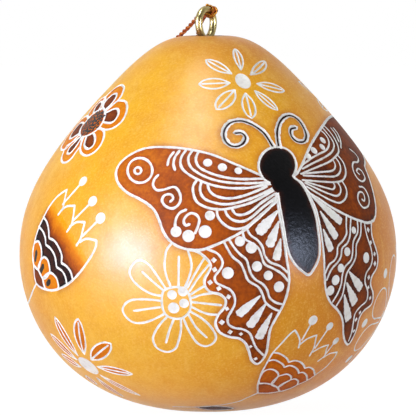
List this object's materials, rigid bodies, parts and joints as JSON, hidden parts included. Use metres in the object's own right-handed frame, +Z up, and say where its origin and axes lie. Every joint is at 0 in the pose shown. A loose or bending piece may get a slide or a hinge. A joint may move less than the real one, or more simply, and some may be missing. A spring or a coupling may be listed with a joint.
{
  "type": "carved gourd ornament",
  "caption": "Egg-shaped dried gourd, hollow, carved and burnt outside, with a brass screw eye in its crown and a loop of twisted cord to hang it by.",
  "frame": {"origin": "centre of the flat trimmed foot that the gourd stands on", "axes": "+Z up along the gourd's axis to the screw eye, the front of the carving faces -Y, +X to its right"},
  "size_m": [0.085, 0.0851, 0.0912],
  "materials": {
    "rind": "dried gourd rind, waxed to a satin gloss, carved and burnt",
    "stem": "dry woody stem, cut",
    "brass": "bright drawn wire",
    "cord": "twisted two-colour cord",
    "pith": "dry and spongy",
    "seed": "dry seed coat"
  },
  "bodies": {
    "gourd": {"gourd_shell": "rind", "stem_core": "stem", "dried_pith": "pith"},
    "eye": {"screw_eye": "brass", "hanger_knot": "cord"},
    "loop": {"hanger_cord": "cord"},
    "seeds": {"loose_seeds": "seed"}
  },
  "joints": [
    {"name": "eye_turn", "type": "hinge", "parent": "gourd", "child": "eye", "pos_m": [0, 0, 0.0841], "axis": [0, 0, 1], "range_deg": [-180, 180]},
    {"name": "loop_swing", "type": "hinge", "parent": "eye", "child": "loop", "pos_m": [0.00039, 0.00057, 0.08963], "axis": [0.866, 0.5, 0], "range_deg": [0, 110]},
    {"name": "seeds_rattle", "type": "slide", "parent": "gourd", "child": "seeds", "axis": [0, 0, 1], "range_m": [0, 0.03]}
  ]
}
